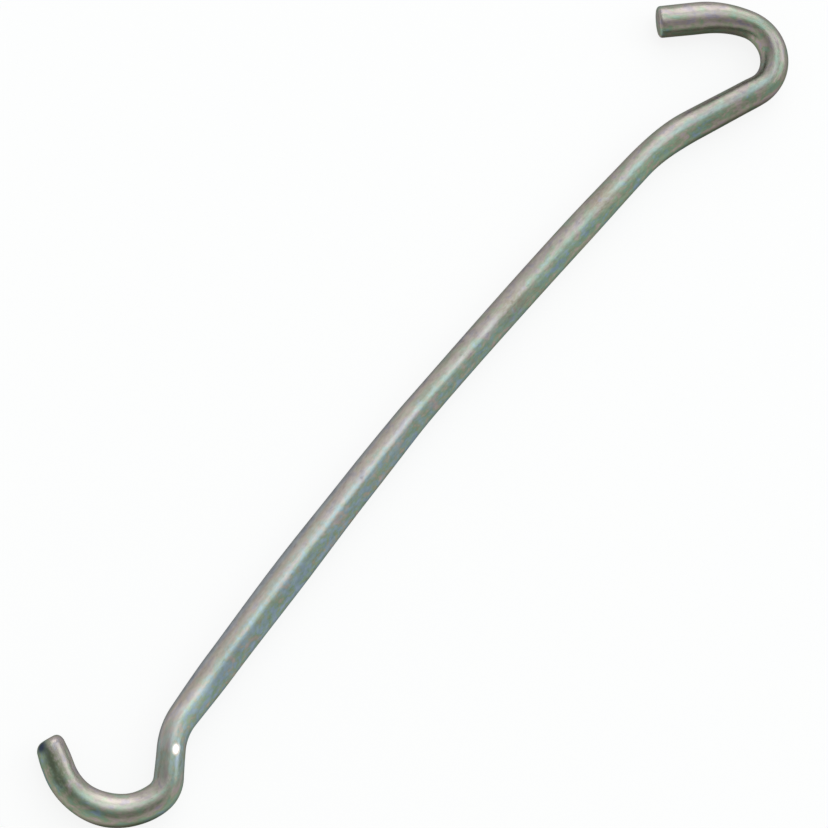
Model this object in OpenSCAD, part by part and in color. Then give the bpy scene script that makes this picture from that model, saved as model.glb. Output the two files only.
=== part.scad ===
// Weigh-below hook: one length of round wire with an open hook bent at each end.
// The balance hook hangs in the eye under a balance, the load hook takes what is weighed.
// The hook lies flat, as it rests on a bench. X is the line of pull and points to the
// balance hook, Y points to the side on which both hooks open, Z is up. Millimetres.

/* [Wire] */
// Diameter of the wire
wire_d = 3; // [2:0.1:4]
// Radius worn on the rim of each cut end
end_round = 0.4; // [0.1:0.05:0.8]

/* [Balance hook] */
// Straight wire between the cut end and the shoulder
balance_tip_length = 4.5; // [2:0.1:12]
// Inside radius of the shoulder, the wide bend that leads into the crown
shoulder_inside_r = 9; // [3:0.5:30]
// Angle through which the shoulder turns
shoulder_angle = 27; // [5:1:40]
// Inside radius of the crown, which hangs in the eye
crown_inside_r = 2.2; // [1:0.1:8]
// Angle through which the crown turns
crown_angle = 132; // [90:1:140]
// Straight wire between the crown and the neck
throat_length = 7.7; // [1:0.1:20]
// Inside radius of the long neck, where the hook leaves the shank
balance_neck_inside_r = 22; // [3:0.5:40]
// Angle through which this neck leans the hook out
balance_neck_angle = 17.5; // [5:0.5:40]

/* [Shank] */
// Length of the shank on the balance hook's side of the set
balance_run = 32.4; // [10:0.1:100]
// Length of the shank on the load hook's side of the set
load_run = 33.6; // [10:0.1:100]
// Inside radius of the shallow bow in both runs
bow_inside_r = 800; // [300:10:3000]
// Inside radius of the set, a slight bend left near the middle of the shank
set_inside_r = 60; // [20:1:200]
// Angle of the set
set_angle = 2; // [1:0.5:8]

/* [Load hook] */
// Inside radius of the short neck, where the hook leaves the shank
load_neck_inside_r = 4.4; // [1:0.1:12]
// Angle through which this neck leans the hook out
load_neck_angle = 31.5; // [10:0.5:60]
// Straight wire between the neck and the heel
heel_length = 2.6; // [0.5:0.1:10]
// Inside radius of the tight heel, which turns the wire back under the shank
heel_inside_r = 0.9; // [0.6:0.1:6]
// Angle through which the heel turns
heel_angle = 49; // [20:1:90]
// Inside radius of the seat, which carries the load
seat_inside_r = 4.2; // [1:0.1:10]
// Angle through which the seat turns
seat_angle = 105; // [60:1:130]
// Straight wire between the seat and the cut end
load_tip_length = 2.9; // [1:0.1:10]

/* [Hidden] */
$fa = 1;
$fs = 0.2;
wire_r = wire_d / 2;
// Every second piece of wire is thinner than its neighbours by this step, and runs this
// far into each of them, so that all the pieces join as one closed solid.
seam_step = 0.03;
seam_lap = 0.1;

// A piece of wire is [length of its centre line, angle it turns through], left positive.
function straight(length) = [length, 0];
function bend(inside_r, angle) = [(inside_r + wire_r) * abs(angle) * PI / 180, angle];
function bow(length) = [length, length / (bow_inside_r + wire_r) * 180 / PI];

// The bending plan, from the balance hook's cut end to the load hook's
plan = [
    straight(balance_tip_length),
    bend(shoulder_inside_r, -shoulder_angle),
    bend(crown_inside_r, -crown_angle),
    straight(throat_length),
    bend(balance_neck_inside_r, balance_neck_angle),
    bow(balance_run),
    bend(set_inside_r, set_angle),
    bow(load_run),
    bend(load_neck_inside_r, load_neck_angle),
    straight(heel_length),
    bend(heel_inside_r, -heel_angle),
    bend(seat_inside_r, -seat_angle),
    straight(load_tip_length)
];
LAST = len(plan) - 1;
CROWN = 2;
SEAT = LAST - 1;

// A place on the centre line is [x, y, heading]. A bend's signed radius is positive
// where its centre lies on the left.
function signed_r(piece) = piece[0] / piece[1] * 180 / PI;
function bend_centre(place, piece) =
    [place.x, place.y] + signed_r(piece) * [-sin(place.z), cos(place.z)];
function along_bend(place, piece, share) =
    let (r = signed_r(piece), c = bend_centre(place, piece), heading = place.z + share * piece[1])
    [c.x + r * sin(heading), c.y - r * cos(heading), heading];
function along_straight(place, length) =
    [place.x + length * cos(place.z), place.y + length * sin(place.z), place.z];

// The place at a share of a piece's length, for the piece that starts at a place
function along(place, piece, share) =
    piece[1] == 0 ? along_straight(place, share * piece[0]) : along_bend(place, piece, share);

// The places where the pieces start, and the place where the wire ends
function walk(from) = [
    for (i = 0, place = from;
         i <= LAST + 1;
         place = i <= LAST ? along(place, plan[i], 1) : place, i = i + 1)
    place
];

// The line of pull runs through the middles of the crown and the seat. Turning the
// wire by the slope of this line lays it along X.
untilted = walk([0, 0, 0]);
pull = bend_centre(untilted[CROWN], plan[CROWN]) - bend_centre(untilted[SEAT], plan[SEAT]);
first_heading = -atan2(pull.y, pull.x);

// The wire's outline, seen from above: both flanks of every bend, and the rims of the
// two cut ends. The origin lies under the middle of its box.
function flanks(place, r) =
    [for (side = [-1, 1]) [place.x, place.y] + side * r * [-sin(place.z), cos(place.z)]];
uncentred = walk([0, 0, first_heading]);
cut_rims = [
    along(uncentred[0], plan[0], end_round / plan[0][0]),
    along(uncentred[LAST], plan[LAST], 1 - end_round / plan[LAST][0])
];
outline = concat(
    [for (i = [0 : LAST])
        if (plan[i][1] != 0)
            for (share = [0 : 1 / 128 : 1])
                each flanks(along(uncentred[i], plan[i], share), wire_r)],
    [for (rim = cut_rims, point = flanks(rim, wire_r - end_round), reach = [-end_round, end_round])
        point + [reach, reach]]
);
xs = [for (point = outline) point.x];
ys = [for (point = outline) point.y];
places = walk([-(min(xs) + max(xs)) / 2, -(min(ys) + max(ys)) / 2, first_heading]);

// A straight piece, along X from the origin
module straight_wire(length, d) {
    rotate([0, 90, 0]) cylinder(h = length, d = d);
}

// A straight piece whose far end is cut off, with a worn rim
module cut_wire(length, d) {
    rim = d / 2 - end_round;
    rotate([0, 90, 0])
        rotate_extrude() {
            square([rim, length]);
            square([d / 2, length - end_round]);
            translate([rim, length - end_round]) circle(r = end_round);
        }
}

// A bent piece that leaves the origin along X, with the signed radius of its centre line
module bent_wire(r, angle, d) {
    from = angle > 0 ? -90 : 90 + angle;
    translate([0, r, 0])
        rotate([0, 0, from])
            rotate_extrude(angle = abs(angle)) translate([abs(r), 0]) circle(d = d);
}

module wire_piece(i) {
    piece = plan[i];
    thin = i % 2 == 1;
    d = wire_d - (thin ? seam_step : 0);
    before = thin ? seam_lap / piece[0] : 0;
    after = thin && i < LAST ? seam_lap / piece[0] : 0;
    share = 1 + before + after;
    begin = along(places[i], piece, -before);
    translate([begin.x, begin.y, wire_r])
        rotate([0, 0, begin.z])
            if (i == 0) translate([piece[0], 0, 0]) rotate([0, 0, 180]) cut_wire(piece[0], d);
            else if (i == LAST) cut_wire(share * piece[0], d);
            else if (piece[1] == 0) straight_wire(share * piece[0], d);
            else bent_wire(signed_r(piece), share * piece[1], d);
}

module wire_hook() {
    color([0.60, 0.62, 0.58])
        for (i = [0 : LAST]) wire_piece(i);
}

wire_hook();
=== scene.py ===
# %% [markdown]
# # A weigh-below hook, bent from plated wire
#
# The object is one piece of round steel wire, 3 mm thick, with an open hook bent at each
# end. The balance hook hangs in the eye under a laboratory balance, and the load hook
# takes whatever is weighed below the bench. There is no second part: no weld, no eye and
# no spring. All that the eye can judge is the run of the bends, the small unevenness of
# wire that was bent by hand, the two cut ends, and a thin zinc plating that shimmers
# green, blue, straw and pink.
#
# The lesson builds it in this order: the bending plan, the centre line that follows from
# it, the skin swept around that line, the plating, and last the floor, lamps and camera.

# %% Load the frame that all pieces share
import math

import bpy
import numpy as np
from mathutils import Matrix, Vector


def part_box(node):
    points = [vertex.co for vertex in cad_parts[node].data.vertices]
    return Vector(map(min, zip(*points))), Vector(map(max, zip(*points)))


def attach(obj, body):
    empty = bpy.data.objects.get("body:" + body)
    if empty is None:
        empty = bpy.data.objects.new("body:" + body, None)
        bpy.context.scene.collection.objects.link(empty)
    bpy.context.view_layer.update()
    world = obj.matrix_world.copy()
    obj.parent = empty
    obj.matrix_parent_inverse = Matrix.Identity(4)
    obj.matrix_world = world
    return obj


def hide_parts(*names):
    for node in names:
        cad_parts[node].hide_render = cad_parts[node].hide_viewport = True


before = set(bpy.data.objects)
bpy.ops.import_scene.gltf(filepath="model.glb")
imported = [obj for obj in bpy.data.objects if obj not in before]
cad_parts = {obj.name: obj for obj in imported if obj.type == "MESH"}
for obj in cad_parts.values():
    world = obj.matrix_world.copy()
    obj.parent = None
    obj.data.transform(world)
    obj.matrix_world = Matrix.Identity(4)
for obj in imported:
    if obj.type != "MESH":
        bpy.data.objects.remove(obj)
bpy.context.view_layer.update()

MM = 0.001
low, high = (np.array(corner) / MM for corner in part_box("wire_hook"))
print("The solid is", [round(side, 2) for side in high - low], "mm long, wide and high")

# %% [markdown]
# ## The bending plan
#
# A wire form is described as its maker bends it: so much straight wire, then a bend of so
# many degrees round a pin of such a radius, and so on. A list of such pieces is short, and
# each value means something on the bench. Points typed in one by one would give a lumpy
# curve instead, so the plan is kept as a plan, and the points are worked out from it.
#
# The radii are those on the inside of each bend, where the wire touches the pin.

# %% Write the bending plan
WIRE_R = 1.5


def straight(length):
    """A straight piece: the length of its centre line in millimetres, and no turn."""
    return length, 0.0


def bend(inside_r, angle):
    """A bend: positive angles turn left. Its length is that of its centre line."""
    return (inside_r + WIRE_R) * math.radians(abs(angle)), angle


def bow(length, inside_r=800.0):
    """A run of the shank, which hands never leave quite straight."""
    return length, math.degrees(length / (inside_r + WIRE_R))


PLAN = {
    "balance tip": straight(4.5),
    "shoulder": bend(9, -27),
    "crown": bend(2.2, -132),
    "throat": straight(7.7),
    "balance neck": bend(22, 17.5),
    "balance run": bow(32.4),
    "set": bend(60, 2),
    "load run": bow(33.6),
    "load neck": bend(4.4, 31.5),
    "heel lead": straight(2.6),
    "heel": bend(0.9, -49),
    "seat": bend(4.2, -105),
    "load tip": straight(2.9),
}
WIRE_LENGTH = sum(length for length, _ in PLAN.values())
STARTS = dict(zip(PLAN, np.cumsum([0.0] + [length for length, _ in PLAN.values()])))
print(len(PLAN), "pieces use", round(WIRE_LENGTH, 2), "mm of wire")

# %% [markdown]
# ## The centre line
#
# Walking along the plan in small steps gives the centre line. At every step the walker
# knows its place and its heading. In a bend the heading changes evenly, which makes the
# walk an exact arc if each step is taken along the heading at the middle of the step.
#
# The wire lies flat, so the walk is a plane curve, and the height stays at one radius.

# %% Walk along the plan
RING_STEP = 0.2


def walk(heading):
    """Places [x, y] and headings at every ring, starting from the origin."""
    rings = round(WIRE_LENGTH / RING_STEP)
    along = np.linspace(0, WIRE_LENGTH, rings + 1)
    ends = np.cumsum([length for length, _ in PLAN.values()])
    turns = np.cumsum([angle for _, angle in PLAN.values()])
    headings = np.radians(heading + np.interp(along, np.r_[0, ends], np.r_[0, turns]))
    middles = (headings[1:] + headings[:-1]) / 2
    steps = np.diff(along)[:, None] * np.c_[np.cos(middles), np.sin(middles)]
    return along, np.vstack([[0, 0], np.cumsum(steps, axis=0)]), headings


def hook_centre(places, headings, along, name):
    """The middle of a bend that turns right, seen from its half-way point."""
    length, angle = PLAN[name]
    radius = length / math.radians(abs(angle))
    ring = np.searchsorted(along, STARTS[name] + length / 2)
    to_right = np.array([math.sin(headings[ring]), -math.cos(headings[ring])])
    return places[ring] + radius * to_right


print("one ring every", RING_STEP, "mm, which makes", round(WIRE_LENGTH / RING_STEP) + 1, "rings")

# %% [markdown]
# ## Laying the wire along the frame
#
# The frame's X axis is the line of pull: it runs through the middle of the load hook's
# seat and the middle of the balance hook's crown. The first walk starts in any direction,
# and its slope tells by how much the second one has to be turned. The box of the solid
# then says where the wire lies, so that the skin and the solid share one place.

# %% Lay the centre line along the line of pull
along, places, headings = walk(0)
crown, seat = (hook_centre(places, headings, along, name) for name in ("crown", "seat"))
slope = math.degrees(math.atan2(*(crown - seat)[::-1]))
along, places, headings = walk(-slope)
reach = np.r_[places + WIRE_R * np.c_[-np.sin(headings), np.cos(headings)],
              places - WIRE_R * np.c_[-np.sin(headings), np.cos(headings)]]
places = places + ((low + high)[:2] - reach.min(0) - reach.max(0)) / 2
print(len(places), "rings; the first heading is", round(-slope, 2), "degrees")
print("box of the walk:", np.round(np.ptp(reach, axis=0), 2), "mm, of the solid:",
      np.round((high - low)[:2], 2), "mm")

# %% [markdown]
# ## Uneven wire
#
# Drawn wire leaves the die round and even, but a bending pin and the jaws of a jig squeeze
# it. Seen from above, the wire gets a little narrower in a tight bend and where jaws grip
# it from both sides, and it spreads where they grip it from above. On this hook the lower
# part of the shank is a tenth wider than the upper part, and the load hook's neck is an
# eighth narrower than plain wire.
#
# A perfectly even tube looks computer-made, so these few widths are written down where
# they occur and joined by a smooth curve. Only the width changes: the hook has lain
# between flat plates, and its thickness is that of the wire.

# %% Say how wide the wire is along its length
WIDTHS = [
    (0.0, 3.1), (4.0, 3.15),  # the balance hook's tip
    (10.5, 2.6), (16.0, 2.75),  # its crown, squeezed round the pin
    (19.0, 2.95), (26.5, 3.05),  # its throat
    (32.0, 2.75),  # the end of its neck
    (42.0, 2.95), (62.0, 2.85), (75.0, 3.1), (85.0, 3.3), (95.5, 3.1),  # the shank
    (104.5, 2.6),  # the load hook's neck, between the jaws
    (110.5, 2.9), (113.5, 3.05), (117.0, 2.85),  # its seat
    (120.0, 2.85), (122.3, 2.55),  # its tip
]


def smooth_between(at, knots):
    """A curve through the knots that eases in and out of each of them."""
    xs, ys = np.array(knots).T
    here = np.clip(np.searchsorted(xs, at) - 1, 0, len(xs) - 2)
    share = np.clip((at - xs[here]) / (xs[here + 1] - xs[here]), 0, 1)
    return ys[here] + (ys[here + 1] - ys[here]) * share * share * (3 - 2 * share)


widths = smooth_between(along, WIDTHS)
print("the wire is between", round(widths.min(), 2), "and", round(widths.max(), 2), "mm wide")

# %% [markdown]
# ## The cut ends
#
# The wire was cut with a shear. The blade first drags the surface in, which leaves a
# rolled rim, and then the rest breaks off at a slight slant. Plating rounds the rim a
# little more. The load hook's end has lost more of its rim than the balance hook's.
#
# The balance hook's face also leans out a little at its top.
#
# Seen from the side an end is a quarter circle from the wire's surface to the flat face.
# Rings are added there by equal steps of the quarter circle's angle, because rings at
# equal distances would miss the curve near its steep end.

# %% Shape the two cut ends
RIM_RINGS = 10
FACE_RINGS = 6
BALANCE_RIM, LOAD_RIM = 0.42, 0.80
BALANCE_SLANT, LOAD_SLANT = 0.05, -0.16
BALANCE_LEAN = -0.15
LEANS_ABOUT = 1.3  # the height over the wire's middle at which the lean moves nothing
SLANT_FADES_IN = 2.5
FACE_MIDDLE_R = 0.05


def end_profile(rim):
    """How far each ring lies inside the end, and what is left of its radius there."""
    turn = np.linspace(0, math.pi / 2, RIM_RINGS + 1)[1:]
    rim_in, rim_r = rim * (1 - np.sin(turn)), WIRE_R - rim * (1 - np.cos(turn))
    face_r = np.linspace(rim_r[-1], FACE_MIDDLE_R, FACE_RINGS + 1)[1:]
    return np.r_[rim_in, np.zeros(FACE_RINGS)], np.r_[rim_r, face_r]


def with_ends(along, places, headings, widths):
    """Rings for the whole wire: along, place, heading, width, and share of the radius."""
    first_in, first_r = end_profile(BALANCE_RIM)
    last_in, last_r = end_profile(LOAD_RIM)
    body = (along > BALANCE_RIM) & (along < WIRE_LENGTH - LOAD_RIM)
    s = np.r_[first_in[::-1], along[body], WIRE_LENGTH - last_in]
    share = np.r_[first_r[::-1], np.full(body.sum(), WIRE_R), last_r] / WIRE_R

    def at(values):
        return np.interp(s, along, values)

    return s, np.c_[at(places[:, 0]), at(places[:, 1])], at(headings), at(widths), share


rings = with_ends(along, places, headings, widths)
print("with the cut ends there are", len(rings[0]), "rings")

# %% [markdown]
# ## The skin
#
# Sweeping a circle along the line gives the skin. Blender's curve bevel could do it too,
# but it knows only one radius for width and thickness together, and it would not tell the
# plating where on the wire a point lies. So the vertices are placed in Python, ring by
# ring, and each keeps a second place: the one that it had while the wire was straight.
# The plating's streaks are drawn on that straight wire and follow every bend by themselves.

# %% Sweep the skin
SIDES = 56


def sweep(s, places, headings, widths, share):
    """Vertices of all rings, in the hook and on the straight wire, in millimetres."""
    angle = np.linspace(0, 2 * math.pi, SIDES, endpoint=False)
    across = share[:, None] * widths[:, None] / 2 * np.cos(angle)
    up = share[:, None] * WIRE_R * np.sin(angle)
    near_first = np.clip(1 - s / SLANT_FADES_IN, 0, 1)[:, None]
    near_last = np.clip(1 - (WIRE_LENGTH - s) / SLANT_FADES_IN, 0, 1)[:, None]
    shift = across * (near_first * BALANCE_SLANT + near_last * LOAD_SLANT)
    shift = shift + (up - LEANS_ABOUT) * near_first * BALANCE_LEAN
    x = places[:, :1] - across * np.sin(headings)[:, None] + shift * np.cos(headings)[:, None]
    y = places[:, 1:] + across * np.cos(headings)[:, None] + shift * np.sin(headings)[:, None]
    hook = np.stack([x, y, up + WIRE_R], axis=-1)
    wire = np.stack([np.broadcast_to(s[:, None], up.shape), across, up], axis=-1)
    return hook.reshape(-1, 3), wire.reshape(-1, 3)


def skin_faces(rings):
    """Quads between neighbouring rings, and one polygon on each end."""
    ring, side = np.meshgrid(np.arange(rings - 1), np.arange(SIDES), indexing="ij")
    here, beside = ring * SIDES + side, ring * SIDES + (side + 1) % SIDES
    quads = np.stack([here, here + SIDES, beside + SIDES, beside], axis=-1).reshape(-1, 4)
    last = (rings - 1) * SIDES
    return quads[:, ::-1].tolist() + [list(range(SIDES))[::-1], list(range(last, last + SIDES))]


hook_points, wire_points = sweep(*rings)
mesh = bpy.data.meshes.new("bent_wire")
mesh.from_pydata((hook_points * MM).tolist(), [], skin_faces(len(rings[0])))
mesh.polygons.foreach_set("use_smooth", [True] * len(mesh.polygons))
straight_place = mesh.attributes.new("straight_wire_mm", "FLOAT_VECTOR", "POINT")
straight_place.data.foreach_set("vector", wire_points.astype(np.float32).ravel())
mesh.update()
bent_wire = bpy.data.objects.new("bent_wire", mesh)
bpy.context.scene.collection.objects.link(bent_wire)
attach(bent_wire, "root")
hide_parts("wire_hook")
print("the skin has", len(mesh.vertices), "vertices and", len(mesh.polygons), "faces")

# %% [markdown]
# ## Is the skin closed?
#
# A skin with a hole or with faces that look inwards can still seem right from one side.
# An edge of a closed skin always joins exactly two faces, and the volume is positive only
# if the faces look outwards. The volume also gives the mass of the hook.

# %% Check that the skin is closed and looks outwards
import bmesh

STEEL = 7.85e-3  # grams in a cubic millimetre
probe = bmesh.new()
probe.from_mesh(mesh)
open_edges = sum(not edge.is_manifold for edge in probe.edges)
volume = probe.calc_volume(signed=True) / MM ** 3
probe.free()
assert open_edges == 0 and volume > 0, "the skin has to be closed and to look outwards"
print("volume", round(volume, 1), "mm3, which is", round(volume * STEEL, 2), "g of steel")

# %% [markdown]
# ## A small tool for shader sums
#
# A material in Blender is a graph of nodes. Written node by node, a simple sum takes five
# lines. The class below wraps one output of a node, so that Python's own signs add the
# Math nodes: `1 - mask * 0.5` is then both readable and a graph. Every other node comes
# from `node`, which sets the node's settings first and its sockets after them.

# %% Make the wrapper for sockets
class Signal:
    """An output of a node. The first one of a material has no socket and only makes nodes."""

    def __init__(self, tree, socket=None):
        self.tree, self.socket = tree, socket

    def node(self, kind, settings=None, inputs=None, output=0):
        """Adds a node and returns one of its outputs. Inputs are values or other Signals."""
        made = self.tree.nodes.new("ShaderNode" + kind)
        for name, setting in (settings or {}).items():
            if name == "stops":
                self.set_stops(made.color_ramp, setting)
            else:
                setattr(made, name, setting)
        for name, value in (inputs or {}).items():
            if isinstance(value, Signal):
                self.tree.links.new(value.socket, made.inputs[name])
            else:
                made.inputs[name].default_value = value
        return Signal(self.tree, made.outputs[output])

    @staticmethod
    def set_stops(ramp, stops):
        """Stops are (position, colour) pairs."""
        while len(ramp.elements) < len(stops):
            ramp.elements.new(1)
        for element, (position, colour) in zip(ramp.elements, stops):
            element.position, element.color = position, (*colour, 1)

    def maths(self, operation, *terms):
        return self.node("Math", {"operation": operation}, dict(enumerate(terms)))

    def __add__(self, other):
        return self.maths("ADD", self, other)

    def __sub__(self, other):
        return self.maths("SUBTRACT", self, other)

    def __rsub__(self, other):
        return self.maths("SUBTRACT", other, self)

    def __mul__(self, other):
        return self.maths("MULTIPLY", self, other)

    __radd__, __rmul__ = __add__, __mul__

    def ramp(self, low, high):
        """0 where the value is under low, 1 where it is over high, and smooth between."""
        settings = {"interpolation_type": "SMOOTHSTEP"}
        return self.node("MapRange", settings, {"Value": self, 1: low, 2: high})

    def band(self, begins, full, fades, ends):
        """Rises from 0 to 1 as ramp does, and falls back to 0 further on."""
        return self.ramp(begins, full) - self.ramp(fades, ends)

    def stretched(self, x, y, z):
        """The vector times one number for each axis."""
        return self.node("VectorMath", {"operation": "MULTIPLY"}, {0: self, 1: (x, y, z)})

    def part(self, axis):
        """One of the vector's three numbers."""
        return self.node("SeparateXYZ", None, {0: self}, "XYZ".index(axis))

    def along(self, direction):
        """How far the vector points along a direction."""
        settings = {"operation": "DOT_PRODUCT"}
        return self.node("VectorMath", settings, {0: self, 1: direction}, "Value")

    def noise(self, detail=2.0, roughness=0.5, distortion=0.0):
        """A cloudy pattern, about 0.5 on average, with one cloud for each unit."""
        return self.node("TexNoise", {"normalize": True}, {
            "Vector": self, "Scale": 1.0, "Detail": detail, "Roughness": roughness,
            "Distortion": distortion})

    def blend(self, first, second):
        """Goes from a colour Signal to a plain colour as this value goes from 0 to 1.

        The node takes colours in its sockets 6 and 7, and vectors in 4 and 5.
        """
        return self.node("Mix", {"data_type": "RGBA"}, {0: self, 6: first, 7: (*second, 1)}, 2)


print("a Signal knows", [name for name in vars(Signal) if not name.startswith("_")])

# %% [markdown]
# ## The plating
#
# The steel is plated with a few thousandths of a millimetre of zinc, and dipped once more
# to protect the zinc. That last film is thinner than light's own wavelength, so it shows
# the colours of oil on water, only paler: pink, straw, green and blue, one after the other
# as the film gets thicker.
#
# Noises stand for the film's thickness, and a colour ramp turns thickness into colour.
# That keeps the colours in their natural order, which separate patches of paint would not.

# %% Start the plating with the places on the straight wire
plating = bpy.data.materials.new("plated_wire")
plating.use_nodes = True
tree = plating.node_tree
tree.nodes.remove(tree.nodes["Principled BSDF"])
start = Signal(tree)
wire = start.node("Attribute", {"attribute_name": "straight_wire_mm"}, None, "Vector")
facing = start.node("NewGeometry", None, None, "Normal")
along_wire, across_wire = wire.part("X"), wire.part("Y")


def around(place, reach, shrink=1.0):
    """1 at a place on the straight wire, in millimetres, and 0 beyond the reach.

    Shrinking the wire's length makes the place that many times longer than it is wide.
    """
    terms = {0: wire.stretched(shrink, 1, 1), 1: (place[0] * shrink, *place[1:])}
    apart = start.node("VectorMath", {"operation": "DISTANCE"}, terms, "Value")
    return 1 - apart.ramp(0.25 * reach, reach)


print("the film is drawn on a straight wire", round(WIRE_LENGTH), "mm long")

# %% [markdown]
# ### How thick the film is
#
# The film ran along the wire while it dried, so its widest patches are much longer than wide, and the
# small ones are nearly round. On the flank that faces away from the lamps the film is made thicker,
# which paints that flank greener and a little darker as painted shade. On the hooks, the balance hook
# most of all, that flank is shifted back towards olive, which is painted shade too.

# %% Say how thick the film is
AWAY_FROM_LAMPS = (-0.75, -0.66, 0.0)
TOP_FILM, SHADED_SIDE_FILM, SHADED_HOOK_SHIFT = 0.30, 0.34, 0.27
long_patches = wire.stretched(0.10, 0.45, 0.45).noise(detail=3, distortion=0.4)
patches = wire.stretched(0.45, 0.95, 0.95).noise(detail=2, roughness=0.6, distortion=0.5)
short_patches = wire.stretched(1.5, 1.9, 1.9).noise(detail=2, roughness=0.6)
flecks = wire.stretched(2.6, 4.2, 4.2).noise(detail=1)
# Painted shade: how far the surface faces away from the lamps, which sets the greener, darker flank.
shaded_side = facing.along(AWAY_FROM_LAMPS)
on_hooks = 1 - along_wire.ramp(20, 30) + along_wire.ramp(104, 109) * 0.4
# The last two terms paint shade into the film: thicker on the flank away from the lamps, and less so on
# the hooks.
film = (TOP_FILM + (long_patches - 0.5) * 0.5 + (patches - 0.5) * 1.9
        + (short_patches - 0.5) * 1.25 + (flecks - 0.5) * 0.1
        + shaded_side.ramp(-0.48, 0.35) * SHADED_SIDE_FILM
        - on_hooks * shaded_side.ramp(-0.4, 0.4) * SHADED_HOOK_SHIFT)
# The low side in this print is the flank away from the lamps, whose film colour is painted shade.
print("the film is thicker on the low side by", SHADED_SIDE_FILM, "of its range of colours")

# %% [markdown]
# ### The film's colours
#
# All the colours are nearly as dark as each other, and none is strong: the zinc below mirrors the room
# through them. The flank that faces the lamps is painted paler, as painted light. On the lower half of
# the shank that flank gets a warm blush, and the far flank is painted bluer, which are painted light
# and painted shade; one edge there is bluer too. A pale line along the middle of the throat and the
# balance hook's neck is a painted highlight. Higher up on the shank, two tan patches cross the bright
# line.

# %% Colour the film by its thickness
VIOLET = (0.300, 0.262, 0.310)
PINK = (0.350, 0.280, 0.280)
STRAW = (0.330, 0.290, 0.248)
OLIVE = (0.262, 0.270, 0.198)
GREEN = (0.206, 0.282, 0.194)
TEAL = (0.198, 0.278, 0.236)
BLUE = (0.205, 0.272, 0.330)
PALE = (0.290, 0.283, 0.268)
PALE_BLUE = (0.225, 0.285, 0.345)
PALE_TEAL = (0.230, 0.290, 0.305)
BLUSH = (0.335, 0.272, 0.235)
TAN = (0.312, 0.262, 0.208)
FILM = [(0.00, VIOLET), (0.14, PINK), (0.32, STRAW), (0.47, OLIVE), (0.62, GREEN),
        (0.82, TEAL), (0.96, BLUE)]

LOWER_SHANK = (40, 85, 98, 111)  # millimetres along the wire, as band takes them

lower_shank = along_wire.band(*LOWER_SHANK)
rim = 1 - across_wire.ramp(-1.4, -1.05)
# Painted light and shade on the lower shank: a blush on the lamp-facing flank, bluer on the far one.
blush = lower_shank * (1 - shaded_side.ramp(-0.5, 0.1)) * patches.ramp(0.3, 0.55)
bluer = lower_shank * (rim * 0.55 + shaded_side.ramp(-0.5, 0.3) * short_patches.ramp(0.38, 0.64))
# Painted highlight: a pale, lighter line along the middle of the throat and the balance hook's neck.
painted_line_highlight = (across_wire.band(-0.6, -0.15, 0.05, 0.3) * along_wire.band(13, 18, 32, 46)
               * patches.ramp(0.30, 0.56))
crossings = around((38.2, -0.5, 1.4), 1.6, shrink=0.6) + around((52.0, 0.2, 1.5), 1.4, shrink=0.5)
crossings = crossings * short_patches.ramp(0.33, 0.52) * (0.5 + flecks.ramp(0.4, 0.6) * 0.5)

colour = start.node("ValToRGB", {"stops": FILM}, {"Fac": film})
# Painted light: the flank that faces the lamps is made paler.
colour = ((1 - shaded_side.ramp(-0.15, 0.4)) * 0.45).blend(colour, PALE)
colour = (blush * 0.6).blend(colour, BLUSH)
colour = (painted_line_highlight * 0.5).blend(colour, PALE_TEAL)
colour = bluer.blend(colour, PALE_BLUE)
colour = (crossings * 0.8).blend(colour, TAN)
print("the film goes through", len(FILM), "colours")

# %% [markdown]
# ### Where use has changed it, and painted highlights
#
# A lighter band is painted along the top of the lower half of the shank, on its lamp-facing half, as a
# painted highlight. The top of the load hook's neck is painted lighter as a painted highlight too, and
# the rings of the loads have worn its seat lighter. The throat of the balance hook, which nothing rubs,
# is dull.

# %% Find the bright and the dull places
# Painted highlight: the lighter band along the lower shank, and the lighter top of the load hook's
# neck.
across_highlight = across_wire - along_wire.ramp(94, 102) * 0.5
painted_shank_highlight = lower_shank * across_highlight.band(-1.2, -0.6, -0.05, 0.25)
painted_neck_highlight = around((101, 0.0, 1.5), 1.5, shrink=0.25)
dull_throat = along_wire.band(11, 16, 23, 30)
worn_seat = around((113.0, -0.8, 1.3), 1.5, shrink=0.3)
# This sum holds painted highlights as well as the worn seat, the dull throat and the tan patches.
wear_and_painted_highlights = (painted_shank_highlight * 0.28 + painted_neck_highlight * 0.48 + worn_seat * 0.24 + painted_line_highlight * 0.14
        - dull_throat * 0.22 - crossings * 0.20)
# The band in this print is the painted highlight along the lower shank.
print("the hand's band begins", LOWER_SHANK[0], "mm along the wire and ends at", LOWER_SHANK[-1])

# %% [markdown]
# ## Lines, grain and specks
#
# The die leaves very fine lines along drawn wire. They are the reason why its shine is a
# soft band across the wire and not a sharp one. The zinc adds a fine grain, and here and
# there a dull speck.

# %% Draw the fine lines, the grain and the specks
LINES_IN_A_MM = 9.0
PLAIN_TONE = 0.515

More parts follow.
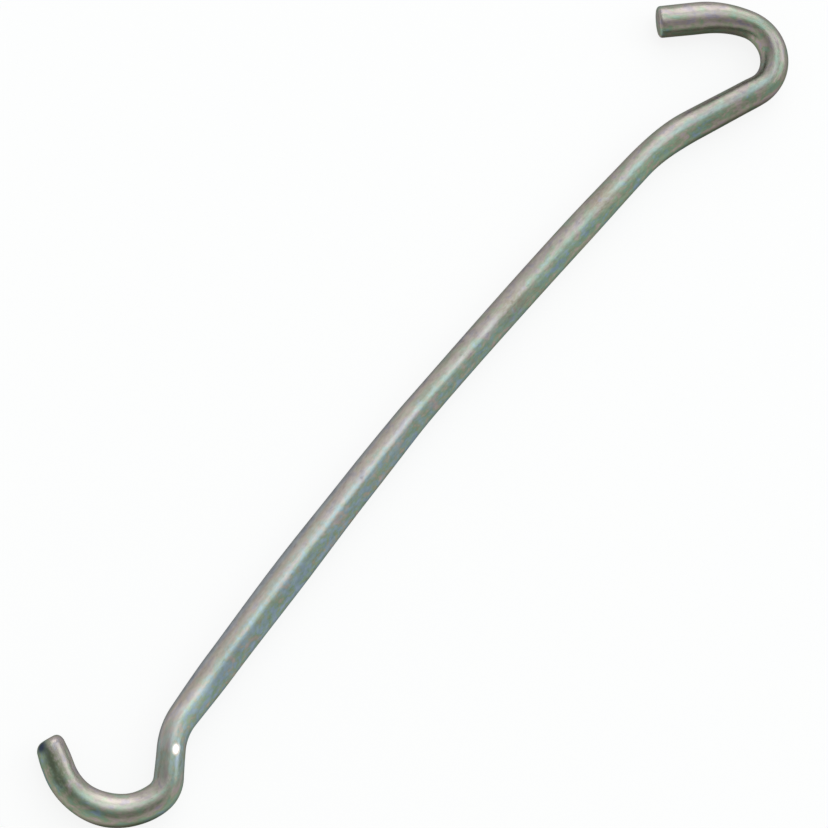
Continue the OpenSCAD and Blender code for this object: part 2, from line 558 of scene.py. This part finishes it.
die_lines = wire.stretched(0.05, LINES_IN_A_MM, LINES_IN_A_MM).noise(detail=3, roughness=0.7)
grain = wire.stretched(2.2, 6.0, 6.0).noise(detail=3, roughness=0.6)
mottle = wire.stretched(0.9, 1.7, 1.7).noise(detail=2, roughness=0.6)
specks = wire.stretched(1.6, 3.0, 3.0).noise(detail=1).ramp(0.68, 0.76)
tone = (PLAIN_TONE + die_lines * 0.14 + grain * 0.44 + mottle * 0.50 - specks * 0.12
        + (short_patches - 0.5) * (0.55 - shaded_side.ramp(-0.3, 0.3) * 0.4)
        + lower_shank * (1 - rim) * 0.06 + wear_and_painted_highlights)
height = die_lines * 0.6 + grain * 0.25
print("about", round(LINES_IN_A_MM * math.pi * 2 * WIRE_R), "die lines lie side by side round the wire")

# %% [markdown]
# ## Marks of the making, and painted shade
#
# Five places differ from the rest. The pin of the bending jig pressed a small flat on the load hook's
# neck, which is polished and shines like a mirror; its colour is painted near white as a painted
# highlight. On one corner of the load hook's cut end a dark blue spot is painted shade, and the wire
# beside it is brown. Wherever the wire's flank faces away from the lamps, it is painted much darker as
# painted shade. The two cut faces are a little duller than the wire.

# %% Place the five marks
PIN_PLACE, FLAT_FACES = (104.3, 0.33, 1.46), (0.11, 0.09, 1.0)
DARK_FLANK_SIDE = (-0.66, -0.75, 0.0)
# Painted highlight: the near-white colour of the pin's polished flat.
GLINT_WHITE = (0.90, 0.70, 0.66)
# Painted shade: the dark blue on the corner of the load hook's cut end.
CORNER_SHADE = (0.02, 0.03, 0.07)
BROWN = (0.11, 0.12, 0.06)
# Painted shade: the dark colour of the flank that faces away from the lamps.
SHADE_DARK = (0.05, 0.052, 0.032)

pin_flat_and_glint = around(PIN_PLACE, 0.50, shrink=0.65)
# Painted shade on the corner of the load hook's cut end.
painted_corner_shade = around((121.9, 0.95, 1.1), 0.9)
brown = around((119.3, 0.4, 1.4), 1.2, shrink=0.3) * short_patches.ramp(0.3, 0.6)
# Painted shade on the flank that faces away from the lamps.
painted_shade = facing.along(DARK_FLANK_SIDE).ramp(0.68, 0.96)
from_cut = start.maths("MINIMUM", along_wire, WIRE_LENGTH - along_wire)
cut_face = 1 - from_cut.ramp(0.01, 0.07)
print("the pin's flat lies", PIN_PLACE[0], "mm along the wire")

# %% [markdown]
# ## Joining the finish
#
# The tone, with its painted highlights, makes the film's colour lighter or darker, and the marks are
# laid over it one by one. A polished flat is smoother, its colour is painted near white as a painted
# highlight, and all of it faces nearly straight up instead of following the wire's round side.

# %% Join the finish
SATIN, POLISHED = 0.34, 0.22
shade = tone * (1 - cut_face * 0.12)
colour = start.node("VectorMath", {"operation": "SCALE"}, {0: colour, "Scale": shade})
# Painted shade on the flank that faces away from the lamps.
colour = (painted_shade * 0.8).blend(colour, SHADE_DARK)
colour = (brown * 0.75).blend(colour, BROWN)
# Painted shade on the corner of the load hook's cut end.
colour = (painted_corner_shade * 0.9).blend(colour, CORNER_SHADE)
# Painted highlight on the pin's flat, on top of its real smoothness and flat facing.
colour = pin_flat_and_glint.blend(colour, GLINT_WHITE)
roughness = SATIN + (grain - 0.5) * 0.16 + specks * 0.12 + cut_face * 0.2
roughness = roughness + pin_flat_and_glint * (POLISHED - roughness)
pressed = start.node("Mix", {"data_type": "VECTOR"}, {0: pin_flat_and_glint, 4: facing, 5: FLAT_FACES}, 1)
bump = start.node("Bump", None, {"Strength": 0.25, "Distance": 0.00003, "Normal": pressed,
                                 "Height": height * (1 - pin_flat_and_glint)})
shader = start.node("BsdfPrincipled", None, {
    "Base Color": colour, "Metallic": 1.0, "Roughness": roughness, "Normal": bump,
    "Coat Weight": 0.06, "Coat Roughness": 0.25, "Specular Tint": (0.35, 0.37, 0.35, 1)})
tree.links.new(shader.socket, tree.nodes["Material Output"].inputs["Surface"])
bent_wire.data.materials.append(plating)
print("the plating has", len(tree.nodes), "nodes")

# %% [markdown]
# ## The floor
#
# The hook lies on a plain white sheet, large enough that its edge is never seen. A white
# sheet under soft light comes out light grey, so a share of plain white is mixed in for
# the camera and for reflections. The rest stays a real surface, and keeps the soft shadow
# that shows where the hook touches it.

# %% Lay the floor
FLOOR_HALF = 3.0
SHARE_OF_WHITE = 0.85
floor_mesh = bpy.data.meshes.new("floor")
floor_mesh.from_pydata([(x, y, 0) for x, y in
                        ((-FLOOR_HALF, -FLOOR_HALF), (FLOOR_HALF, -FLOOR_HALF),
                         (FLOOR_HALF, FLOOR_HALF), (-FLOOR_HALF, FLOOR_HALF))],
                       [], [(0, 1, 2, 3)])
floor = bpy.data.objects.new("floor", floor_mesh)
bpy.context.scene.collection.objects.link(floor)

sheet = bpy.data.materials.new("white_sheet")
sheet.use_nodes = True
tree = sheet.node_tree
tree.nodes.remove(tree.nodes["Principled BSDF"])
start = Signal(tree)
rays = [start.node("LightPath", None, None, f"Is {kind} Ray")
        for kind in ("Camera", "Glossy", "Transmission")]
seen = start.maths("MAXIMUM", start.maths("MAXIMUM", *rays[:2]), rays[2])
paper = start.node("BsdfDiffuse", None, {"Color": (0.9, 0.9, 0.9, 1)})
white = start.node("Emission", None, {"Color": (1, 1, 1, 1), "Strength": 1.0})
surface = start.node("MixShader", None, {0: seen * SHARE_OF_WHITE, 1: paper, 2: white})
tree.links.new(surface.socket, tree.nodes["Material Output"].inputs["Surface"])
floor.data.materials.append(sheet)
print("the floor reaches", FLOOR_HALF, "m each way")

# %% [markdown]
# ## The light
#
# Bright metal shows the room more than itself. A large soft lamp stands on one side, with
# a smaller one in front of it, so that every bend has a light flank and a dark one. A
# third, on the other side, lights the load hook's tip. The fourth stands high above and
# draws the narrow line along the shank.
#
# The rest of the room is a pale grey sky with two darker corners, which keep the far
# flanks dark. Corners in the sky cost nothing, while dark screens would throw shadows.

# %% Set the lamps and the room
def soft_lamp(name, towards, off_zenith, distance, size, brightness, tint):
    """A rectangular lamp that looks at the hook. Brightness 1 is that of a white sheet."""
    data = bpy.data.lights.new(name, "AREA")
    data.shape, (data.size, data.size_y) = "RECTANGLE", size
    data.energy = brightness * math.pi * size[0] * size[1]
    data.color = tint
    lamp = bpy.data.objects.new(name, data)
    side, lean = math.radians(towards), math.radians(off_zenith)
    away = Vector((math.cos(side) * math.sin(lean), math.sin(side) * math.sin(lean),
                   math.cos(lean)))
    lamp.location = away * distance
    lamp.rotation_euler = away.to_track_quat("Z", "Y").to_euler()
    lamp.visible_camera = False
    bpy.context.scene.collection.objects.link(lamp)


soft_lamp("window_lamp", 34, 50, 0.9, (2.3, 1.4), 0.30, (0.99, 1.0, 0.98))
soft_lamp("side_lamp", 31, 61, 0.8, (0.6, 0.55), 1.45, (1.0, 0.97, 0.98))
soft_lamp("low_lamp", -30, 58, 0.8, (0.5, 0.5), 1.35, (0.93, 0.98, 1.0))
soft_lamp("line_lamp", 33, 20, 0.6, (0.36, 0.28), 1.22, (0.76, 0.94, 1.0))

ROOM = (0.75, 0.79, 0.77)
DARK_CORNERS = [((-0.32, -0.46, 0.83), 0.87, 0.97, 0.55), ((-0.53, 0.37, 0.76), 0.78, 0.97, 0.42)]
world = bpy.data.worlds.new("room")
world.use_nodes = True
tree = world.node_tree
start = Signal(tree)
outwards = start.node("TexCoord", None, None, "Generated")
brightness = 1.0
for direction, begins, full, share in DARK_CORNERS:
    brightness = brightness - outwards.along(direction).ramp(begins, full) * share
dimmed = start.node("VectorMath", {"operation": "SCALE"}, {0: ROOM, "Scale": brightness})
tree.links.new(dimmed.socket, tree.nodes["Background"].inputs["Color"])
bpy.context.scene.world = world
print("lamps:", [lamp.name for lamp in bpy.data.lights], "and", len(DARK_CORNERS), "dark corners")

# %% [markdown]
# ## The camera
#
# The camera looks down on the hook with a long lens. It leans a little towards the load
# hook, and it is turned so that the shank runs up to the right.

# %% Place the camera
CAMERA_LEAN, CAMERA_TURN = 15.0, 48.05
CAMERA_DISTANCE, CAMERA_LENS = 0.2455, 115.0
LOOK_AT = Vector((-2.89, -0.85, 1.5)) * MM
camera_data = bpy.data.cameras.new("camera")
camera_data.lens = CAMERA_LENS
camera = bpy.data.objects.new("camera", camera_data)
turned = (Matrix.Rotation(math.radians(-CAMERA_LEAN), 4, "Y")
          @ Matrix.Rotation(math.radians(-CAMERA_TURN), 4, "Z"))
camera.matrix_world = Matrix.Translation(LOOK_AT) @ turned @ Matrix.Translation(
    (0, 0, CAMERA_DISTANCE))
bpy.context.scene.collection.objects.link(camera)
bpy.context.scene.camera = camera
print("the camera is", CAMERA_DISTANCE, "m from the hook")

# %% [markdown]
# ## The end
#
# The colours leave the scene as they are, without a film's curve.

# %% Finish
bpy.context.scene.view_settings.view_transform = "Standard"
